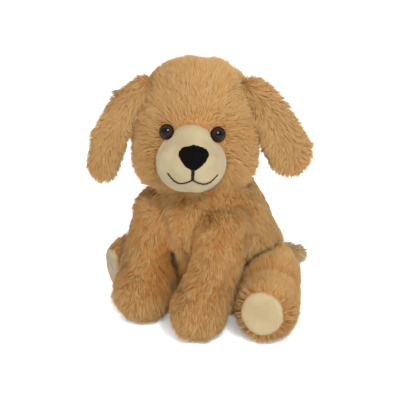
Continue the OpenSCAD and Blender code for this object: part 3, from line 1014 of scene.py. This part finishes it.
def clipped(node, body, mat, pile_mat, seed):
    """A short-pile panel as a puffed sewn piece, with its own fine pile."""
    v, t = remeshed([node_arrays(node)], CLIPPED_VOXEL, CLIPPED_SMOOTH)
    n = vertex_normals(v, t)
    v = v + n * (0.18 * wave(v, 17, seed) + 0.06 * wave(v, 5, seed + 1))[:, None]
    ob = mesh_object(node + "_velour", v, t, mat)
    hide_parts(node)
    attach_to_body(ob, body)
    skin = Skin((body,), v, t)
    # Only the faces that look away from the body's own skin carry pile.
    middle = v[t].mean(1)
    inner = np.array([SKINS[body].tree.find_nearest(p)[0] for p in middle.tolist()])
    faces = np.flatnonzero(((middle - inner) * n[t].mean(1)).sum(1) > 0.3)
    coat = locks(skin, faces, CLIPPED, FLOW[body], clipped_length, clipped_shade, (), seed + 2)
    pile = pile_object(node + "_pile", [coat], pile_mat)
    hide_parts(node)
    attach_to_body(pile, body)


clipped("muzzle_panel", "head", CREAM, CREAM_PILE, 301)
clipped("left_foot_pad", "left_hind_leg", PAD_CREAM, PAD_PILE, 311)
clipped("right_foot_pad", "right_hind_leg", PAD_CREAM, PAD_PILE, 321)

# ---------------------------------------------------------------- embroidery
# The nose is satin stitch in layers: the strands of each layer and their radius.
NOSE_LAYERS = ((20, 0.95), (38, 0.40), (38, 0.38))
NOSE_ROUND = 1.3
# The mouth's places on the face of the head, as x and z.
MOUTH_X = -1.5
BEFORE_FACE = -110.0
PHILTRUM_Z = (-15.6, -21, -27)


def face_point(x, z, lift):
    """The point of the muzzle in front of head place (x, z), lifted off it, and the way out of the face."""
    start, way = from_head((x, BEFORE_FACE, z)), HEAD_TURN @ np.array((0, 1.0, 0))
    hit, normal = MUZZLE_TREE.ray_cast(start.tolist(), way.tolist())[:2]
    normal = np.array(normal)
    if normal @ way > 0:
        normal = -normal
    return np.array(hit) + normal * lift, normal


def strand(points, normals, radii, sides=6, flat=0.75):
    """A tube through the points, flatter towards the surface, closed at both ends."""
    p, n = np.array(points), np.array(normals)
    d = unit(np.gradient(p, axis=0))
    side = unit(np.cross(d, n))
    up = np.cross(side, d)
    rings = []
    for k in range(sides):
        a = 2 * math.pi * k / sides
        rings.append(p + (side * math.cos(a) + up * math.sin(a) * flat) * np.array(radii)[:, None])
    v = np.stack(rings, 1).reshape(-1, 3)
    quads = []
    for r in range(len(p) - 1):
        for k in range(sides):
            j = (k + 1) % sides
            quads.append((r * sides + j, r * sides + k, (r + 1) * sides + k, (r + 1) * sides + j))
    first = np.arange(sides)
    return v, np.array(quads), np.stack((first, first[::-1] + (len(p) - 1) * sides))


def strands_object(name, strands, mat):
    verts, quads, ends, count = [], [], [], 0
    for v, q, e in strands:
        verts.append(v)
        quads.append(q + count)
        ends.append(e + count)
        count += len(v)
    return mesh_object(name, np.concatenate(verts), [np.concatenate(quads), np.concatenate(ends)], mat)


def outline_of(node):
    """The convex outline of a node in head x and z, as its upper and lower edges."""
    pts = sorted(map(tuple, np.round(to_head(node_arrays(node)[0])[:, (0, 2)], 3).tolist()))

    def edge(points, sign):
        out = []
        for p in points:
            while len(out) > 1 and sign * ((out[-1][0] - out[-2][0]) * (p[1] - out[-2][1])
                                           - (out[-1][1] - out[-2][1]) * (p[0] - out[-2][0])) >= 0:
                out.pop()
            out.append(p)
        return np.array(out)

    return edge(pts, 1), edge(pts, -1)


def make_nose():
    rng = np.random.default_rng(71)
    upper, lower = outline_of("nose")
    left, right = upper[0, 0], upper[-1, 0]
    middle, half = (left + right) / 2, (right - left) / 2
    out = []
    for layer, (count, thick) in enumerate(NOSE_LAYERS):
        for i in range(count):
            x = left + (i + 0.5 + 0.3 * rng.uniform(-1, 1)) / count * 2 * half
            top, low = np.interp(x, upper[:, 0], upper[:, 1]), np.interp(x, lower[:, 0], lower[:, 1])
            if top - low < 1.0:
                continue
            low -= NOSE_ROUND * math.sin(math.pi * min(1.0, abs(x - middle) / half))
            top, low = top + rng.uniform(-0.35, 0.5), low - rng.uniform(-0.35, 0.5)
            pts, nrm, rad = [], [], []
            for k in range(11):
                f = k / 10
                z = top + (low - top) * f
                bulge = (1 - (2 * f - 1) ** 4) * (1 - abs((x - middle) / (half * 1.06)) ** 4)
                p, n = face_point(x + 0.12 * math.sin(5 * f + i), z, 0.1 + (0.9 + 0.45 * layer) * bulge)
                pts.append(p)
                nrm.append(n)
                rad.append(thick * (0.75 + 0.25 * math.sin(math.pi * f)))
            out.append(strand(pts, nrm, rad))
    return out


nose = strands_object("embroidered_nose", make_nose(), NOSE_THREAD)
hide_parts("nose")
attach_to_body(nose, "head")


def stitch_run(path, pitch, radius, rng):
    """Back stitches along a path of head places: each one rises a little in its middle."""
    path = np.array(path, float)
    seg = np.linalg.norm(np.diff(path, axis=0), axis=1)
    at = np.concatenate(([0], np.cumsum(seg)))
    count = round(at[-1] / pitch)
    out = []
    for i in range(count):
        a, b = at[-1] * i / count - 0.25, at[-1] * (i + 1) / count + 0.25
        pts, nrm, rad = [], [], []
        for k in range(6):
            f = k / 5
            s = min(max(a + (b - a) * f, 0), at[-1])
            x, z = np.interp(s, at, path[:, 0]), np.interp(s, at, path[:, 1])
            p, n = face_point(x, z, 0.12 + 0.38 * math.sin(math.pi * f))
            pts.append(p + n * 0.001 * k)
            nrm.append(n)
            rad.append(radius * (0.72 + 0.28 * math.sin(math.pi * f)) * rng.uniform(0.95, 1.05))
        out.append(strand(pts, nrm, rad))
    return out


def make_mouth():
    rng = np.random.default_rng(72)
    out = []
    top, middle, low = PHILTRUM_Z
    for dx in (-0.62, 0.0, 0.62):
        path = [(MOUTH_X + dx, top), (MOUTH_X + 0.05 + dx * 0.9, middle), (MOUTH_X + dx * 0.6, low)]
        out += stitch_run(path, 4.0, 0.72, rng)
    for s in (-1, 1):
        path = []
        for k in np.linspace(0, 6, 25):
            x = MOUTH_X + s * (0.7 + 3 * k)
            z = -26.5 - 3.4 * math.sin(math.radians(32 * k)) + 0.35 * max(0, k - 3) * (k - 3)
            path.append((x, z))
        out += stitch_run(path, 2.9, 0.62, rng)
    return out


mouth = strands_object("embroidered_mouth", make_mouth(), MOUTH_THREAD)
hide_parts("mouth_stitching")
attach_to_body(mouth, "head")

# ---------------------------------------------------------------- floor, light and camera
FLOOR_HALF = 4000.0

scene = bpy.context.scene
pale = Nodes("pale_floor")
pale.set(Base_Color=pale.mix(pale.noise(3), (0.90, 0.90, 0.90, 1), (0.92, 0.92, 0.92, 1)), Roughness=0.9)
pale.set(Emission_Color=(1, 1, 1, 1), Emission_Strength=0.30)
corners = FLOOR_HALF * np.array(((-1, -1, 0), (1, -1, 0), (1, 1, 0), (-1, 1, 0)))
floor = mesh_object("floor", corners, np.array([[0, 1, 2, 3]]), pale.mat, smooth=False)

world = bpy.data.worlds.new("studio")
world.use_nodes = True
world.node_tree.nodes["Background"].inputs["Color"].default_value = (1, 1, 1, 1)
world.node_tree.nodes["Background"].inputs["Strength"].default_value = 1.0
scene.world = world


LAMPS_AIM_AT = Vector((0.0, -0.02, 0.1))


def way_back(azimuth, elevation):
    """The direction from the puppy to something seen at this azimuth and elevation, in degrees."""
    a, e = math.radians(azimuth), math.radians(elevation)
    return Vector((math.sin(a) * math.cos(e), -math.cos(a) * math.cos(e), math.sin(e)))


def lamp(name, azimuth, elevation, distance, size, power):
    data = bpy.data.lights.new(name, "AREA")
    data.shape, data.size, data.energy = "DISK", size, power
    ob = bpy.data.objects.new(name, data)
    back = way_back(azimuth, elevation)
    ob.location = LAMPS_AIM_AT + back * distance
    ob.rotation_euler = (-back).to_track_quat("-Z", "Y").to_euler()
    scene.collection.objects.link(ob)


# Azimuth and elevation in degrees, distance and size in metres, and power in watts.
lamp("key_softbox", 34, 36, 1.5, 0.50, 12)
lamp("small_softbox", 44, 40, 1.5, 0.16, 13)
lamp("back_softbox", 205, 45, 1.6, 0.8, 11)

AZIMUTH, ELEVATION, DISTANCE = 30, 20, 0.95
TARGET = Vector((0.020, -0.061, 0.095))
# The camera aims this far above its target, so that the puppy is in the middle of the picture.
AIM_ABOVE = 0.01694
cam = bpy.data.objects.new("camera", bpy.data.cameras.new("camera"))
cam.data.lens, cam.data.sensor_width = 111.0, 36.0
cam.location = TARGET + way_back(AZIMUTH, ELEVATION) * DISTANCE
aim = TARGET + way_back(AZIMUTH + 180, 90 - ELEVATION) * AIM_ABOVE
cam.rotation_mode = "QUATERNION"
cam.rotation_quaternion = (aim - cam.location).to_track_quat("-Z", "Y")
scene.collection.objects.link(cam)
scene.camera = cam
scene.view_settings.view_transform = "Standard"

for mat in list(bpy.data.materials):
    if mat.users == 0:
        bpy.data.materials.remove(mat)
